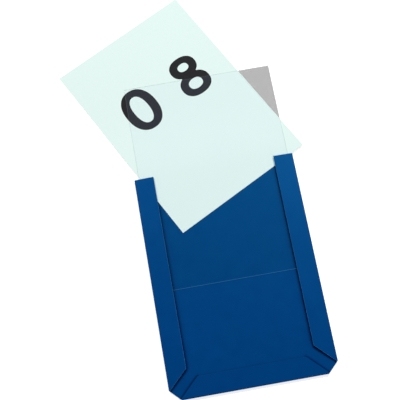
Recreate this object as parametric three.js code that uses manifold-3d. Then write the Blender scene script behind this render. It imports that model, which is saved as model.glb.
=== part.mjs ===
import * as THREE from 'three';
import { mergeVertices } from 'three/addons/utils/BufferGeometryUtils.js';
import Module from 'manifold-3d';

// Magnetic document pocket, lying on its rear magnets with its front up.
// Millimetres. X runs across the pocket, Y towards its open end, Z away from the surface it is stuck to.
// The origin is the middle of the lower magnetic strip's rear face.

// Page and cover film
const documentWidth = 210;
const documentLength = 297;
const documentThickness = 0.2;
const filmThickness = 0.3;
const filmExtraLength = 8;

// Folded sleeve: one plastic sheet, turned over on three sides
const sleeveWall = 0.8;
const sidePlay = 5.45;
const endPlay = 12.2;
const layerGap = 0.3;
const sideFlangeWidth = 27;
const bottomFlangeWidth = 27;
const cornerChamfer = 15;
const mitreSlotWidth = 18;
const sideFlangeSpring = THREE.MathUtils.degToRad(2.5);
const bottomFlangeSpring = THREE.MathUtils.degToRad(1.2);

// Magnetic strips on the rear
const magnetLength = 200;
const magnetWidth = 20;
const magnetThickness = 1.5;
const magnetInset = 15;

// How the loose pieces lie
const documentTurn = THREE.MathUtils.degToRad(27.5);
const documentSideGap = 7.6;
const filmPulledOut = 145;
const fallLength = 120;

// Fineness of the round forms
const foldSegments = 8;
const fallSegments = 24;

// Margin by which a cutting solid reaches past what it cuts
const cutMargin = 5;

// Sizes and places that follow from the values above
const filmWidth = documentWidth;
const filmLength = documentLength + filmExtraLength;
const slotHeight = documentThickness + filmThickness + 3 * layerGap;
const foldRadius = sleeveWall + slotHeight / 2;
const halfWidth = documentWidth / 2 + sidePlay + sleeveWall;
const sleeveLength = documentLength + endPlay + sleeveWall;
const sleeveBottom = -(magnetInset + magnetWidth / 2);
const sleeveTop = sleeveBottom + sleeveLength;
const panelBack = magnetThickness;
const panelFront = panelBack + sleeveWall;
const sideFlangeLift = sideFlangeWidth * Math.tan(sideFlangeSpring);
const bottomFlangeLift = bottomFlangeWidth * Math.tan(bottomFlangeSpring);
const sleeveFront = panelBack + 2 * foldRadius + Math.max(sideFlangeLift, bottomFlangeLift);
const documentBack = panelFront + layerGap;
const filmBack = documentBack + documentThickness + layerGap;

const wasm = await Module();
wasm.setup();

// A closed geometry as a solid that can be joined and cut
function toSolid(geometry) {
  const bare = geometry.clone();
  bare.deleteAttribute('normal');
  bare.deleteAttribute('uv');
  const merged = mergeVertices(bare, 1e-4);
  const vertProperties = new Float32Array(merged.attributes.position.array);
  const triVerts = new Uint32Array(merged.index.array);
  return new wasm.Manifold(new wasm.Mesh({ numProp: 3, vertProperties, triVerts }));
}

// A solid back as a geometry with flat facets
function toGeometry(solid) {
  const mesh = solid.getMesh();
  const geometry = new THREE.BufferGeometry();
  geometry.setAttribute('position', new THREE.BufferAttribute(new Float32Array(mesh.vertProperties), 3));
  geometry.setIndex(new THREE.BufferAttribute(new Uint32Array(mesh.triVerts), 1));
  const faceted = geometry.toNonIndexed();
  faceted.computeVertexNormals();
  return faceted;
}

// An outline in plan, raised from one height to another
function plate(outline, low, high) {
  const geometry = new THREE.ExtrudeGeometry(outline, { depth: high - low, bevelEnabled: false });
  return geometry.translate(0, 0, low);
}

function polygon(points) {
  return new THREE.Shape(points.map(([x, y]) => new THREE.Vector2(x, y)));
}

// A section drawn as distance across and height, run along Y between two ends
function runAlongY(section, start, end) {
  const geometry = new THREE.ExtrudeGeometry(section, {
    depth: end - start,
    bevelEnabled: false,
    curveSegments: foldSegments,
  });
  return geometry.rotateX(Math.PI / 2).translate(0, end, 0);
}

// The back panel, as far out as the folds begin, before its lower corners are cut off
function backPanel() {
  const side = halfWidth - foldRadius;
  const bottom = sleeveBottom + foldRadius;
  const outline = polygon([[-side, bottom], [side, bottom], [side, sleeveTop], [-side, sleeveTop]]);
  return plate(outline, panelBack, panelFront);
}

// Section of one turned-over side: a lap on the back panel, the round fold and the flange.
// The fold's outermost line is at the given reach. The fold springs back by a small angle, so that the
// flange rises from it towards its free edge, which is cut square to the sheet.
function foldSection(reach, flangeWidth, spring) {
  const centre = new THREE.Vector2(reach - foldRadius, panelBack + foldRadius);
  const lapEnd = reach - flangeWidth;
  const outward = new THREE.Vector2(Math.sin(spring), Math.cos(spring));
  const inward = new THREE.Vector2(-outward.y, outward.x);
  const foldEnd = centre.clone().addScaledVector(outward, foldRadius);
  const freeEdge = foldEnd.clone().addScaledVector(inward, (foldEnd.x - lapEnd) / outward.y);
  const freeEdgeBack = freeEdge.clone().addScaledVector(outward, -sleeveWall);
  const foldEndBack = foldEnd.clone().addScaledVector(outward, -sleeveWall);
  const foldStop = Math.PI / 2 - spring;
  const section = new THREE.Shape();
  section.moveTo(lapEnd, panelBack);
  section.lineTo(centre.x, panelBack);
  section.absarc(centre.x, centre.y, foldRadius, -Math.PI / 2, foldStop, false);
  section.lineTo(freeEdge.x, freeEdge.y);
  section.lineTo(freeEdgeBack.x, freeEdgeBack.y);
  section.lineTo(foldEndBack.x, foldEndBack.y);
  section.absarc(centre.x, centre.y, slotHeight / 2, foldStop, -Math.PI / 2, true);
  section.lineTo(lapEnd, panelFront);
  section.closePath();
  return section;
}

// Each lower corner is cut at 45 degrees, and the flanges beside it end on two parallel 45 degree cuts
// that leave a slot of even width, which runs square to the corner's own cut and meets its middle.
const cornerX = halfWidth - cornerChamfer / 2;
const cornerY = sleeveBottom + cornerChamfer / 2;
const slotAcross = (mitreSlotWidth / 2) * Math.SQRT2;

// A wedge in plan that takes away what lies below the side flange's end cut
function belowSideFlange() {
  const reach = sideFlangeWidth + cornerChamfer + cutMargin;
  const start = cornerY + slotAcross;
  return plate(
    polygon([
      [cornerX - reach, start + reach],
      [cornerX - reach, start - 2 * reach],
      [cornerX + reach, start - 2 * reach],
      [cornerX + reach, start - reach],
    ]),
    panelBack - cutMargin,
    sleeveFront + cutMargin,
  );
}

// A wedge in plan that takes away what lies beyond the bottom flange's end cut
function besideBottomFlange() {
  const reach = bottomFlangeWidth + cornerChamfer + cutMargin;
  const start = cornerY - slotAcross;
  return plate(
    polygon([
      [cornerX - reach, start + reach],
      [cornerX + reach, start - reach],
      [cornerX + 2 * reach, start - reach],
      [cornerX + 2 * reach, start + reach],
    ]),
    panelBack - cutMargin,
    sleeveFront + cutMargin,
  );
}

// The triangle in plan that the lower right corner loses
function cornerOffcut() {
  const right = halfWidth + cutMargin;
  const bottom = sleeveBottom - cutMargin;
  const legs = cornerChamfer + 2 * cutMargin;
  return plate(
    polygon([[right, bottom], [right, bottom + legs], [right - legs, bottom]]),
    panelBack - cutMargin,
    sleeveFront + cutMargin,
  );
}

// Mirrors a solid left to right
function mirrored(solid) {
  return solid.mirror([1, 0, 0]);
}

// The right side's fold and flange, with its lower end cut
function sideFold() {
  const section = foldSection(halfWidth, sideFlangeWidth, sideFlangeSpring);
  const run = runAlongY(section, sleeveBottom, sleeveTop);
  return toSolid(run).subtract(toSolid(belowSideFlange()));
}

// The bottom's fold and flange, with both ends cut
function bottomFold() {
  const section = foldSection(-sleeveBottom, bottomFlangeWidth, bottomFlangeSpring);
  const run = runAlongY(section, -halfWidth, halfWidth).rotateZ(-Math.PI / 2);
  const cut = toSolid(besideBottomFlange());
  return toSolid(run).subtract(cut).subtract(mirrored(cut));
}

// One sheet: back panel, three round folds and three flanges
function foldedSleeve() {
  const side = sideFold();
  const offcut = toSolid(cornerOffcut());
  const sheet = toSolid(backPanel()).add(side).add(mirrored(side)).add(bottomFold());
  return toGeometry(sheet.subtract(offcut).subtract(mirrored(offcut)));
}

// Height that a loose sheet has lost at a place Y. It leaves the pocket level and settles over the fall
// length, as a thin strip does under its own weight between a shelf and the surface below it.
function fallAt(y) {
  const toGo = THREE.MathUtils.clamp((sleeveTop + fallLength - y) / fallLength, 0, 1);
  return documentBack * (1 - toGo ** 3 * (4 - 3 * toGo));
}

// A wide band of a loose sheet's thickness that follows the fall. Its section runs along Y.
function fallingBand(back, thickness, reach) {
  const low = sleeveBottom;
  const high = sleeveTop + documentLength + filmLength;
  const stations = [low];
  for (let i = 0; i <= fallSegments; i += 1) {
    stations.push(sleeveTop + (fallLength * i) / fallSegments);
  }
  stations.push(high);
  const under = stations.map((y) => [y, back - fallAt(y)]);
  const over = stations.map((y) => [y, back + thickness - fallAt(y)]).reverse();
  const band = runAlongY(polygon([...under, ...over]), -reach, reach);
  return toSolid(band.rotateZ(Math.PI / 2));
}

// A loose sheet: the band cut to the sheet's outline in plan
function looseSheet(outline, back, thickness, reach) {
  const prism = toSolid(plate(outline, -cutMargin, sleeveFront + cutMargin));
  return toGeometry(fallingBand(back, thickness, reach).intersect(prism));
}

// The page leans on the top of the right fold, and its left edge leaves the pocket a little inside the
// left fold. Its lowest corner is the right angle between those two edges.
function documentSheet() {
  const foldInside = halfWidth - sleeveWall;
  const rest = new THREE.Vector2(foldInside, sleeveTop + layerGap / Math.cos(documentTurn));
  const span = 2 * foldInside - documentSideGap;
  const along = new THREE.Vector2(Math.cos(documentTurn), Math.sin(documentTurn));
  const up = new THREE.Vector2(-along.y, along.x);
  const lowest = rest.clone().addScaledVector(along, -span * Math.cos(documentTurn));
  const right = lowest.clone().addScaledVector(along, documentWidth);
  const outline = new THREE.Shape([
    lowest,
    right,
    right.clone().addScaledVector(up, documentLength),
    lowest.clone().addScaledVector(up, documentLength),
  ]);
  return looseSheet(outline, documentBack, documentThickness, documentWidth + documentLength);
}

// The film lies square in the pocket, drawn part of the way out
function coverFilm() {
  const side = filmWidth / 2;
  const bottom = sleeveBottom + sleeveWall + filmPulledOut;
  const top = bottom + filmLength;
  const outline = polygon([[-side, bottom], [side, bottom], [side, top], [-side, top]]);
  return looseSheet(outline, filmBack, filmThickness, filmWidth);
}

// A magnetic strip whose rear face is on the surface, at its place along the sleeve
function magnetStrip(y) {
  const strip = new THREE.BoxGeometry(magnetLength, magnetWidth, magnetThickness);
  return strip.translate(0, y, magnetThickness / 2);
}

const blueSheet = new THREE.MeshStandardMaterial({ color: 0x00427e, roughness: 0.42, metalness: 0 });
const clearFilm = new THREE.MeshStandardMaterial({
  color: 0xe8ecec,
  roughness: 0.08,
  metalness: 0,
  transparent: true,
  opacity: 0.2,
});
const paleGreenPaper = new THREE.MeshStandardMaterial({ color: 0xe2f9f2, roughness: 0.85, metalness: 0 });
const magnetRubber = new THREE.MeshStandardMaterial({ color: 0x2b2826, roughness: 0.7, metalness: 0 });

const pocket = new THREE.Group();

function addPiece(name, geometry, material) {
  const mesh = new THREE.Mesh(geometry, material);
  mesh.name = name;
  pocket.add(mesh);
}

addPiece('folded_sleeve', foldedSleeve(), blueSheet);
addPiece('clear_cover_film', coverFilm(), clearFilm);
addPiece('document_sheet', documentSheet(), paleGreenPaper);
addPiece('lower_magnet_strip', magnetStrip(0), magnetRubber);
addPiece('upper_magnet_strip', magnetStrip(sleeveTop - magnetInset - magnetWidth / 2), magnetRubber);

export default pocket;
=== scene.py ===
import math

import bmesh
import bpy
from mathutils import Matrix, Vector


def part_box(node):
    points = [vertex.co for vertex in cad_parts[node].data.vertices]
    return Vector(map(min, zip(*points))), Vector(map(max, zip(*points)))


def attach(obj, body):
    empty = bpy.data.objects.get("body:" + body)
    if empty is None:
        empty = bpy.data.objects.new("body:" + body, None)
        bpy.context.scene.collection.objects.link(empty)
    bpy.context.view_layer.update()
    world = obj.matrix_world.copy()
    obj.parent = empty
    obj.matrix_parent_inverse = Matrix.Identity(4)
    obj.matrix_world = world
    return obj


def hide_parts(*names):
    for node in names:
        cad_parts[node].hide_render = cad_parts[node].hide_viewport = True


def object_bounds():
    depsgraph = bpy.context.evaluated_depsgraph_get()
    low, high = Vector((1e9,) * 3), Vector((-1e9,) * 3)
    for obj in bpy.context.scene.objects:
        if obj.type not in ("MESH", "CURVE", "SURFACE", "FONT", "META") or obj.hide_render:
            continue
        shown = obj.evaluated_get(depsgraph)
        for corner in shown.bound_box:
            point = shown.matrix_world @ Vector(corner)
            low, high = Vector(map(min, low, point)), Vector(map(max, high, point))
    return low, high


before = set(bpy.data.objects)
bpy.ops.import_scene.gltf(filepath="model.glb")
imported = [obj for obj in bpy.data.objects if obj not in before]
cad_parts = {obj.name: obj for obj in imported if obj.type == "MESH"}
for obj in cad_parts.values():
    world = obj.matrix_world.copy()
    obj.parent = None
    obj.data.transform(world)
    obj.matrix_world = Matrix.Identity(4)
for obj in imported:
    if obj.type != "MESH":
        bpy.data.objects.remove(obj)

cad_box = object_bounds()
MM = 0.001

# Places read from the frame
SLEEVE_LOW, SLEEVE_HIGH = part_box("folded_sleeve")
PAGE_LOW, PAGE_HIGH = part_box("document_sheet")
FILM_LOW, FILM_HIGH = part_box("clear_cover_film")

# The sleeve: its flanges' depth, half the length of the bottom flange's free edge, and how far its cut
# edges are eased
FLANGE_WIDTH = 27 * MM
BOTTOM_EDGE_HALF = 70 * MM
CUT_EASE = 0.25 * MM

# The page: its own sizes, its turn, and how it sags to the surface past the pocket
PAGE_TURN = math.radians(27.5)
PAGE_LENGTH = 297 * MM
PAGE_WIDTH = 210 * MM
PAGE_THICKNESS = 0.2 * MM
FALL_LENGTH = 120 * MM
FALL_STEPS = 24

# Directions along the sleeve's edges and along the page's, and the page's lowest corner
SLEEVE_ACROSS = (1, 0, 0)
SLEEVE_UP = (0, 1, 0)
PAGE_ACROSS = Vector((math.cos(PAGE_TURN), math.sin(PAGE_TURN), 0))
PAGE_UP = Vector((-math.sin(PAGE_TURN), math.cos(PAGE_TURN), 0))
PAGE_CORNER = Vector((PAGE_LOW[0] + PAGE_LENGTH * math.sin(PAGE_TURN), PAGE_LOW[1], 0))

# The printed digits, in millimetres from the page's lowest corner along its edges
ZERO = {"left": 40, "bottom": 150, "width": 50, "height": 68, "stem": 13.2, "bar": 11}
EIGHT = {"left": 128, "bottom": 151, "width": 46, "height": 66, "stem": 12.4, "bar": 10.2}
INK_THICKNESS = 0.03 * MM

# A digit's ovals: how many points they have, and the exponent of their form, which is 2 for an ellipse
OVAL_STEPS = 72
SQUARENESS = 2.25

# The eight's bowls and waist, as shares of the whole digit
LOWER_BOWL_HEIGHT = 0.56
UPPER_BOWL_HEIGHT = 0.5
UPPER_BOWL_WIDTH = 0.9
WAIST_HEIGHT = 0.54

# The shade painted into the gap beside the flanges: how far it reaches, and how open to light a place is
# where the painted shade is darkest and where it ends, with 1 for wide open
SHADE_REACH = 14 * MM
SHADE_DARKEST = 0.79
SHADE_END = 0.955

# How much of what lies behind it one face of the film hides. A look through the film meets two faces.
FILM_HAZE_LEAST = 0.015
FILM_HAZE_MOST = 0.018
FILM_PAINTED_REFLECTION_HAZE = 0.3
FILM_LOW_ANGLE_POWER = 3
FILM_PAINTED_EDGE_HAZE = 0.12
FILM_EDGE_WIDTH = 0.45 * MM
FILM_PAINTED_GREY_HAZE = 0.45

# Mesh work: points this close are one, faces this level are one, and long edges this sharp are cut edges
SAME_POINT = 0.001 * MM
SAME_FACE_ANGLE = math.radians(1)
CUT_EDGE_LENGTH = 3 * MM
CUT_EDGE_ANGLE = math.radians(50)
SHARP_SHADING_ANGLE = math.radians(35)

# The photo's camera: lens, sensor and place in millimetres, angles in degrees
LENS = 95.68
SENSOR_WIDTH = 36
CAMERA_PLACE = (-67.76, -250.53, 1376.06)
CAMERA_ANGLES = (19.659, 1.831, -9.891)

# The floor, in metres, and the light that it gives off where it is looked at
FLOOR_SIZE = 8.0
FLOOR_CLEARANCE = 0.02 * MM
FLOOR_GREY = (0.86, 0.86, 0.86, 1)
FLOOR_LIFT = 0.66

# The strength of the white surroundings as a light and as a background
WORLD_LIGHT = 0.14
WORLD_SEEN = 1.0

# Each lamp's place and width in metres, and its power in watts
LAMPS = {
    "key": ((1.9, 3.4, 3.7), 1.6, 157),
    "back": ((-1.6, 3.6, 3.7), 1.6, 114),
    "fill": ((2.3, -2.4, 3.7), 2.6, 44),
}


# Colours

def linear(red, green, blue):
    """An sRGB colour of 0 to 255 as a linear colour with alpha."""
    parts = []
    for value in (red, green, blue):
        c = value / 255
        parts.append(c / 12.92 if c <= 0.04045 else ((c + 0.055) / 1.055) ** 2.4)
    return (*parts, 1.0)


WHITE = (1, 1, 1, 1)
BLUE = linear(0, 52, 118)
BLUE_DEEP = linear(0, 50, 114)
# Painted shade for the gaps beside the flanges, full and faint
BLUE_PAINTED_SHADE = linear(0, 0, 68)
BLUE_PAINTED_SHADE_FAINT = linear(0, 48, 111)
# A highlight painted on the sheet's cut edges, in two tones and faint
BLUE_CUT_HIGHLIGHT = linear(28, 102, 162)
BLUE_CUT_HIGHLIGHT_PALE = linear(62, 132, 190)
BLUE_CUT_HIGHLIGHT_FAINT = linear(2, 58, 122)
BLUE_GLEAM = (0.0, 0.4, 0.9, 1)
PAPER = linear(231, 250, 246)
PAPER_DIM = linear(228, 248, 243)
INK = linear(18, 17, 22)
INK_WORN = linear(26, 25, 30)
MAGNET = linear(43, 40, 38)
MAGNET_WORN = linear(56, 52, 49)
# A glow painted into the film by the page and by the panel beneath it
FILM_GLOW_ON_PAGE = linear(163, 188, 222)
FILM_GLOW_ON_PANEL = linear(0, 98, 85)
# A painted line at the film's edge, shaded over the page and lit over the panel
FILM_EDGE_SHADE_ON_PAGE = linear(150, 170, 165)
FILM_EDGE_HIGHLIGHT_ON_PANEL = linear(100, 190, 215)
# A painted reflection of the pale surroundings, seen from a low angle
FILM_PAINTED_REFLECTION = linear(206, 219, 226)
# Painted grey for the darker ground seen through the bare film
FILM_GREY = linear(153, 152, 153)


# Materials

class Shader:
    """A material whose nodes are added by short calls."""

    def __init__(self, name):
        self.material = bpy.data.materials.new(name)
        self.material.use_nodes = True
        self.nodes = self.material.node_tree.nodes
        self.links = self.material.node_tree.links
        self.surface = self.nodes["Principled BSDF"]
        self.place = self.nodes.new("ShaderNodeTexCoord").outputs["Object"]

    def link(self, output, socket):
        self.links.new(output, socket)

    def set_inputs(self, sockets, values):
        """Sets each socket to its value, or links it to the output given in the value's place."""
        for socket, value in zip(sockets, values):
            if isinstance(value, bpy.types.NodeSocket):
                self.link(value, socket)
            else:
                socket.default_value = value

    def noise(self, scale, detail=4.0, stretch=(1, 1, 1)):
        mapping = self.nodes.new("ShaderNodeMapping")
        mapping.inputs["Scale"].default_value = stretch
        self.link(self.place, mapping.inputs["Vector"])
        node = self.nodes.new("ShaderNodeTexNoise")
        node.inputs["Scale"].default_value = scale
        node.inputs["Detail"].default_value = detail
        self.link(mapping.outputs["Vector"], node.inputs["Vector"])
        return node.outputs["Fac"]

    def ramp(self, value, start, end, low=0, high=1):
        """Goes from low to high while the value goes from start to end."""
        node = self.nodes.new("ShaderNodeMapRange")
        node.inputs["From Min"].default_value = start
        node.inputs["From Max"].default_value = end
        node.inputs["To Min"].default_value = low
        node.inputs["To Max"].default_value = high
        self.link(value, node.inputs["Value"])
        return node.outputs["Result"]

    def spread(self, noise, low=0, high=1):
        """Stretches the middle of a noise, where nearly all of it lies, from low to high."""
        return self.ramp(noise, 0.3, 0.7, low, high)

    def reach(self, direction):
        """How far along a direction a place lies, from the frame's origin."""
        node = self.nodes.new("ShaderNodeVectorMath")
        node.operation = "DOT_PRODUCT"
        node.inputs[1].default_value = direction
        self.link(self.place, node.inputs[0])
        return node.outputs["Value"]

    def math(self, operation, first, second=0):
        node = self.nodes.new("ShaderNodeMath")
        node.operation = operation
        self.set_inputs(node.inputs, (first, second))
        return node.outputs[0]

    def mix(self, factor, first, second):
        """The first colour where the factor is 0, the second where it is 1."""
        node = self.nodes.new("ShaderNodeMix")
        node.data_type = "RGBA"
        factor_input, first_input, second_input = node.inputs[0], node.inputs[6], node.inputs[7]
        self.set_inputs((factor_input, first_input, second_input), (factor, first, second))
        return node.outputs[2]

    def painted_recess_shade(self):
        """Where shade is painted: 0 close beside an edge of the same sheet that stands over the surface,
        1 in the open.
        """
        node = self.nodes.new("ShaderNodeAmbientOcclusion")
        node.samples = 16
        node.only_local = True
        node.inputs["Distance"].default_value = SHADE_REACH
        return self.ramp(node.outputs["AO"], SHADE_DARKEST, SHADE_END)

    def colour(self, output):
        self.link(output, self.surface.inputs["Base Color"])

    def roughness(self, scale, low, high):
        self.link(self.spread(self.noise(scale), low, high), self.surface.inputs["Roughness"])

    def gloss(self, level, tint=WHITE):
        self.surface.inputs["Specular IOR Level"].default_value = level
        self.surface.inputs["Specular Tint"].default_value = tint

    def grain(self, noise, strength, depth):
        node = self.nodes.new("ShaderNodeBump")
        node.inputs["Strength"].default_value = strength
        node.inputs["Distance"].default_value = depth
        self.link(noise, node.inputs["Height"])
        self.link(node.outputs["Normal"], self.surface.inputs["Normal"])


def blue_plastic():
    """Satin blue sheet with a very fine cast grain, with shade painted darker into the gaps beside the
    flanges.
    """
    s = Shader("blue_plastic")
    patches = s.spread(s.noise(scale=9, detail=2))

    # The shade painted beside the bottom flange's long edge is fainter, as that flange lies flatter than
    # the side ones.
    near_end = s.math("LESS_THAN", s.reach(SLEEVE_UP), SLEEVE_LOW[1] + FLANGE_WIDTH + SHADE_REACH)
    from_middle = s.math("ABSOLUTE", s.reach(SLEEVE_ACROSS))
    near_middle = s.math("LESS_THAN", from_middle, BOTTOM_EDGE_HALF)
    painted_gap_shade = s.mix(s.math("MULTIPLY", near_end, near_middle), BLUE_PAINTED_SHADE, BLUE_PAINTED_SHADE_FAINT)

    # Painted shade darkens the colour beside the flanges' edges
    s.colour(s.mix(s.painted_recess_shade(), painted_gap_shade, s.mix(patches, BLUE_DEEP, BLUE)))
    s.roughness(scale=60, low=0.37, high=0.42)
    s.gloss(1.0, BLUE_GLEAM)
    s.grain(s.noise(scale=2200, detail=3), strength=0.12, depth=0.05 * MM)
    return s.material


def cut_plastic_highlight():
    """The sheet's cut edge, with a highlight painted into its colour that makes it paler than its faces,
    but hardly so on the bottom flange.
    """
    s = Shader("cut_plastic_highlight")
    cut = s.mix(s.spread(s.noise(scale=500)), BLUE_CUT_HIGHLIGHT, BLUE_CUT_HIGHLIGHT_PALE)

    # The bottom flange ends at the diagonals that run in from the sleeve's lower corners.
    from_middle = s.math("ABSOLUTE", s.reach(SLEEVE_ACROSS))
    across_and_up = s.math("ADD", from_middle, s.reach(SLEEVE_UP))
    on_bottom_flange = s.math("LESS_THAN", across_and_up, SLEEVE_HIGH[0] + SLEEVE_LOW[1])

    # The painted highlight on the cut edge is faint on the bottom flange
    s.colour(s.mix(on_bottom_flange, cut, BLUE_CUT_HIGHLIGHT_FAINT))
    s.roughness(scale=200, low=0.5, high=0.6)
    s.gloss(0.4, BLUE_GLEAM)
    s.grain(s.noise(scale=1800), strength=0.15, depth=0.03 * MM)
    return s.material


def page_paper():
    """Pale green paper with faint fibres."""
    s = Shader("page_paper")
    fibres = s.spread(s.noise(scale=700, stretch=(1, 0.35, 1)))
    s.colour(s.mix(fibres, PAPER_DIM, PAPER))
    s.roughness(scale=90, low=0.78, high=0.88)
    s.gloss(0.2)
    s.grain(s.noise(scale=1500, detail=5), strength=0.15, depth=0.03 * MM)
    return s.material


def page_ink():
    """Black printed ink, a little uneven."""
    s = Shader("page_ink")
    s.colour(s.mix(s.spread(s.noise(scale=400)), INK, INK_WORN))
    s.roughness(scale=300, low=0.5, high=0.62)
    s.gloss(0.14)
    s.grain(s.noise(scale=1500), strength=0.1, depth=0.02 * MM)
    return s.material


def magnet_rubber():
    """Dark matt magnetic strip."""
    s = Shader("magnet_rubber")
    s.colour(s.mix(s.spread(s.noise(scale=300)), MAGNET, MAGNET_WORN))
    s.roughness(scale=150, low=0.62, high=0.78)
    s.grain(s.noise(scale=900), strength=0.2, depth=0.05 * MM)
    return s.material


def clear_film():
    """Clear film, tinted with painted light by what lies behind it, and painted grey, for the darker
    ground seen through it, where it lies past the page and the sleeve.
    """
    s = Shader("clear_film")
    x, y = s.reach(SLEEVE_ACROSS), s.reach(SLEEVE_UP)
    half_length = (FILM_HIGH[1] - FILM_LOW[1]) / 2
    from_middle = s.math("ABSOLUTE", s.math("SUBTRACT", y, (FILM_LOW[1] + FILM_HIGH[1]) / 2))
    to_side = s.math("SUBTRACT", FILM_HIGH[0] - FILM_EDGE_WIDTH, s.math("ABSOLUTE", x))
    to_end = s.math("SUBTRACT", half_length - FILM_EDGE_WIDTH, from_middle)
    # The band along the film's edge where a painted line of light and shade goes
    edge = s.math("LESS_THAN", s.math("MINIMUM", to_side, to_end), 0)

    across, up = s.reach(PAGE_ACROSS), s.reach(PAGE_UP)
    past_page = s.math("GREATER_THAN", across, PAGE_CORNER.dot(PAGE_ACROSS) + PAGE_WIDTH)
    before_page = s.math("LESS_THAN", across, PAGE_CORNER.dot(PAGE_ACROSS))
    below_page = s.math("LESS_THAN", up, PAGE_CORNER.dot(PAGE_UP))
    off_page = s.math("MAXIMUM", past_page, s.math("MAXIMUM", before_page, below_page))
    above_sleeve = s.math("GREATER_THAN", y, SLEEVE_HIGH[1])
    # Where the film lies bare, grey is painted in for the darker ground seen through it
    bare = s.math("MULTIPLY", past_page, above_sleeve)

    # From a low angle the film's colour takes on a painted reflection, the pale gleam of its
    # surroundings.
    layer = s.nodes.new("ShaderNodeLayerWeight")
    low_angle = s.math("POWER", layer.outputs["Facing"], FILM_LOW_ANGLE_POWER)

    # Painted light: over the page and over the panel the film takes a glow from what lies beneath, and a
    # painted line at its edge
    page_glow_and_edge_line = s.mix(edge, FILM_GLOW_ON_PAGE, FILM_EDGE_SHADE_ON_PAGE)
    panel_glow_and_edge_line = s.mix(edge, FILM_GLOW_ON_PANEL, FILM_EDGE_HIGHLIGHT_ON_PANEL)
    body = s.mix(low_angle, s.mix(off_page, page_glow_and_edge_line, panel_glow_and_edge_line), FILM_PAINTED_REFLECTION)
    s.colour(s.mix(bare, body, FILM_GREY))
    s.roughness(scale=40, low=0.1, high=0.16)

    haze_and_painted_light = s.spread(s.noise(scale=25, detail=3), FILM_HAZE_LEAST, FILM_HAZE_MOST)
    haze_and_painted_light = s.math("ADD", haze_and_painted_light, s.math("MULTIPLY", low_angle, FILM_PAINTED_REFLECTION_HAZE))
    haze_and_painted_light = s.math("ADD", haze_and_painted_light, s.math("MULTIPLY", edge, FILM_PAINTED_EDGE_HAZE))
    haze_and_painted_light = s.math("MAXIMUM", haze_and_painted_light, s.math("MULTIPLY", bare, FILM_PAINTED_GREY_HAZE))
    s.link(haze_and_painted_light, s.surface.inputs["Alpha"])
    return s.material


# Printed digits

def fall_at(y):
    """How far a loose sheet has come down at a place along Y, as in the solid it belongs to."""
    total = PAGE_HIGH[2] - PAGE_THICKNESS
    to_go = min(max((SLEEVE_HIGH[1] + FALL_LENGTH - y) / FALL_LENGTH, 0), 1)
    return total * (1 - to_go ** 3 * (4 - 3 * to_go))


def page_point(across, up):
    """A place on the page, measured from its lowest corner along its two edges."""
    return PAGE_CORNER + PAGE_ACROSS * across + PAGE_UP * up


def oval(centre, width, height):
    """A closed superellipse, a little squarer than an ellipse, as bold figures are."""
    power = 2 / SQUARENESS
    points = []
    for i in range(OVAL_STEPS):
        angle = 2 * math.pi * i / OVAL_STEPS
        cosine, sine = math.cos(angle), math.sin(angle)
        points.append((centre[0] + width / 2 * math.copysign(abs(cosine) ** power, cosine),
                       centre[1] + height / 2 * math.copysign(abs(sine) ** power, sine)))
    return points


def inside_oval(point, centre, width, height):
    """Whether a point is inside such an oval."""
    dx = abs(point[0] - centre[0]) / (width / 2)
    dy = abs(point[1] - centre[1]) / (height / 2)
    return dx ** SQUARENESS + dy ** SQUARENESS < 1


def zero_loops(left, bottom, width, height, stem, bar):
    """Outline and counter of a bold zero."""
    centre = (left + width / 2, bottom + height / 2)
    return [oval(centre, width, height), oval(centre, width - 2 * stem, height - 2 * bar)]


def eight_loops(left, bottom, width, height, stem, bar):
    """Outline and two counters of a bold eight, whose upper bowl is the smaller."""
    middle = left + width / 2
    lower_height, upper_height = height * LOWER_BOWL_HEIGHT, height * UPPER_BOWL_HEIGHT
    lower = ((middle, bottom + lower_height / 2), width, lower_height)
    upper = ((middle, bottom + height - upper_height / 2), width * UPPER_BOWL_WIDTH, upper_height)
    rim = [p for p in oval(*lower) if not inside_oval(p, *upper)]
    rim += [p for p in oval(*upper) if not inside_oval(p, *lower)]
    waist = bottom + height * WAIST_HEIGHT
    rim.sort(key=lambda p: math.atan2(p[1] - waist, p[0] - middle))
    loops = [rim]
    for centre, bowl_width, bowl_height in (lower, upper):
        loops.append(oval(centre, bowl_width - 2 * stem, bowl_height - 2 * bar))
    return loops


def flat_mesh(name, loops):
    """A flat mesh, as thick as the ink, of loops on the page. A loop inside another one is a hole."""
    curve = bpy.data.curves.new(name, "CURVE")
    curve.dimensions = "2D"
    curve.fill_mode = "BOTH"
    curve.extrude = INK_THICKNESS / 2
    for loop in loops:
        spline = curve.splines.new("POLY")
        spline.points.add(len(loop) - 1)
        for point, (across, up) in zip(spline.points, loop):
            place = page_point(across * MM, up * MM)
            point.co = (place.x, place.y, 0, 1)
        spline.use_cyclic_u = True
    source = bpy.data.objects.new(name + "_curve", curve)
    bpy.context.scene.collection.objects.link(source)
    bpy.context.view_layer.update()
    evaluated = source.evaluated_get(bpy.context.evaluated_depsgraph_get())
    mesh = bpy.data.meshes.new_from_object(evaluated)
    bpy.data.objects.remove(source)
    return mesh


def printed_figure(name, loops, material):
    """A thin layer of ink on the page that follows the page's fall."""
    mesh = flat_mesh(name, loops)
    bm = bmesh.new()
    bm.from_mesh(mesh)
    bmesh.ops.remove_doubles(bm, verts=bm.verts, dist=SAME_POINT)
    for i in range(FALL_STEPS + 1):
        y = SLEEVE_HIGH[1] + FALL_LENGTH * i / FALL_STEPS
        geometry = bm.verts[:] + bm.edges[:] + bm.faces[:]
        bmesh.ops.bisect_plane(bm, geom=geometry, plane_co=(0, y, 0), plane_no=(0, 1, 0))
    for vert in bm.verts:
        vert.co.z += PAGE_HIGH[2] - fall_at(vert.co.y) + INK_THICKNESS / 2
    bm.to_mesh(mesh)
    bm.free()
    mesh.materials.clear()
    mesh.materials.append(material)
    figure = bpy.data.objects.new(name, mesh)
    bpy.context.scene.collection.objects.link(figure)
    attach(figure, "root")


# The part's own nodes

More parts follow.
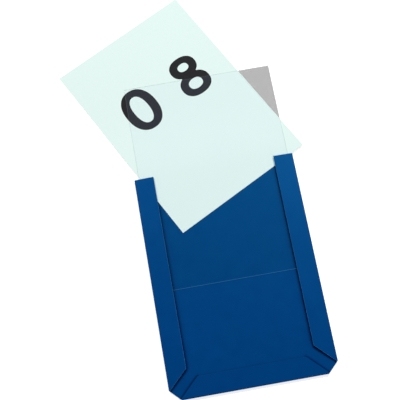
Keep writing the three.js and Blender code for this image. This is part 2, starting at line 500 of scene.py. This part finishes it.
def softened_copy(name, node, face_material, edge_material):
    """A copy of a node's own mesh with its cut edges eased, which stands for the node."""
    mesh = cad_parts[node].data.copy()
    mesh.name = name
    mesh.materials.clear()
    mesh.materials.append(face_material)
    mesh.materials.append(edge_material)
    bm = bmesh.new()
    bm.from_mesh(mesh)
    bmesh.ops.remove_doubles(bm, verts=bm.verts, dist=SAME_POINT)
    bmesh.ops.dissolve_limit(bm, angle_limit=SAME_FACE_ANGLE, verts=bm.verts, edges=bm.edges)
    cut_edges = [e for e in bm.edges if e.is_manifold and e.calc_length() > CUT_EDGE_LENGTH
                 and e.calc_face_angle() > CUT_EDGE_ANGLE]
    eased = bmesh.ops.bevel(bm, geom=cut_edges, offset=CUT_EASE, segments=2, profile=0.5,
                            affect="EDGES", clamp_overlap=False)
    for face in bm.faces:
        face.smooth = True
        face.material_index = 0
    for face in eased["faces"]:
        face.material_index = 1
    bmesh.ops.remove_doubles(bm, verts=bm.verts, dist=SAME_POINT)
    bm.to_mesh(mesh)
    bm.free()
    mesh.set_sharp_from_angle(angle=SHARP_SHADING_ANGLE)
    piece = bpy.data.objects.new(name, mesh)
    bpy.context.scene.collection.objects.link(piece)
    weighted = piece.modifiers.new("even_shading", "WEIGHTED_NORMAL")
    weighted.weight = 100
    weighted.keep_sharp = True
    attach(piece, "root")
    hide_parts(node)


def finish_node(node, material):
    """Gives a node that is kept as it is a finished surface."""
    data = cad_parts[node].data
    data.materials.clear()
    data.materials.append(material)


# Camera, floor, surroundings and lamps

def add_camera():
    data = bpy.data.cameras.new("camera")
    data.lens = LENS
    data.sensor_width = SENSOR_WIDTH
    camera = bpy.data.objects.new("camera", data)
    camera.location = [c * MM for c in CAMERA_PLACE]
    camera.rotation_euler = [math.radians(a) for a in CAMERA_ANGLES]
    bpy.context.scene.collection.objects.link(camera)
    bpy.context.scene.camera = camera


def seen_directly(nodes, links):
    """1 where a camera, glossy or transmission ray looks, 0 where light only bounces."""
    path = nodes.new("ShaderNodeLightPath")
    total = path.outputs["Is Camera Ray"]
    for other in ("Is Glossy Ray", "Is Transmission Ray"):
        node = nodes.new("ShaderNodeMath")
        node.operation = "MAXIMUM"
        links.new(total, node.inputs[0])
        links.new(path.outputs[other], node.inputs[1])
        total = node.outputs[0]
    return total


def floor_white():
    """White that stays white in the picture and still takes the object's shadow."""
    material = bpy.data.materials.new("floor_white")
    material.use_nodes = True
    nodes, links = material.node_tree.nodes, material.node_tree.links
    surface = nodes["Principled BSDF"]
    surface.inputs["Base Color"].default_value = FLOOR_GREY
    surface.inputs["Roughness"].default_value = 0.9
    surface.inputs["Specular IOR Level"].default_value = 0
    surface.inputs["Emission Color"].default_value = WHITE
    lift = nodes.new("ShaderNodeMath")
    lift.operation = "MULTIPLY"
    lift.inputs[1].default_value = FLOOR_LIFT
    links.new(seen_directly(nodes, links), lift.inputs[0])
    links.new(lift.outputs[0], surface.inputs["Emission Strength"])
    return material


def add_floor():
    half = FLOOR_SIZE / 2
    mesh = bpy.data.meshes.new("floor")
    corners = [(-half, -half, 0), (half, -half, 0), (half, half, 0), (-half, half, 0)]
    mesh.from_pydata(corners, [], [(0, 1, 2, 3)])
    mesh.materials.append(floor_white())
    floor = bpy.data.objects.new("floor", mesh)
    floor.location = (0, 0, cad_box[0][2] - FLOOR_CLEARANCE)
    bpy.context.scene.collection.objects.link(floor)


def add_world():
    world = bpy.data.worlds.new("world")
    world.use_nodes = True
    nodes, links = world.node_tree.nodes, world.node_tree.links
    background = nodes["Background"]
    background.inputs["Color"].default_value = WHITE
    path = nodes.new("ShaderNodeLightPath")
    strength = nodes.new("ShaderNodeMapRange")
    strength.inputs["To Min"].default_value = WORLD_LIGHT
    strength.inputs["To Max"].default_value = WORLD_SEEN
    links.new(path.outputs["Is Camera Ray"], strength.inputs["Value"])
    links.new(strength.outputs["Result"], background.inputs["Strength"])
    bpy.context.scene.world = world


def add_lamps():
    """Soft round lamps that all aim at the middle of the object."""
    aim = (Vector(cad_box[0]) + Vector(cad_box[1])) / 2
    aim.z = 0
    for name, (place, width, power) in LAMPS.items():
        data = bpy.data.lights.new(name, "AREA")
        data.shape = "DISK"
        data.size = width
        data.energy = power
        lamp = bpy.data.objects.new(name, data)
        lamp.location = place
        lamp.rotation_euler = (aim - Vector(place)).to_track_quat("-Z", "Y").to_euler()
        bpy.context.scene.collection.objects.link(lamp)


add_camera()
add_floor()
add_world()
add_lamps()

softened_copy("sleeve_sheet", "folded_sleeve", blue_plastic(), cut_plastic_highlight())
finish_node("document_sheet", page_paper())
finish_node("clear_cover_film", clear_film())
rubber = magnet_rubber()
finish_node("lower_magnet_strip", rubber)
finish_node("upper_magnet_strip", rubber)

ink = page_ink()
printed_figure("printed_zero", zero_loops(**ZERO), ink)
printed_figure("printed_eight", eight_loops(**EIGHT), ink)

bpy.context.scene.view_settings.view_transform = "Standard"
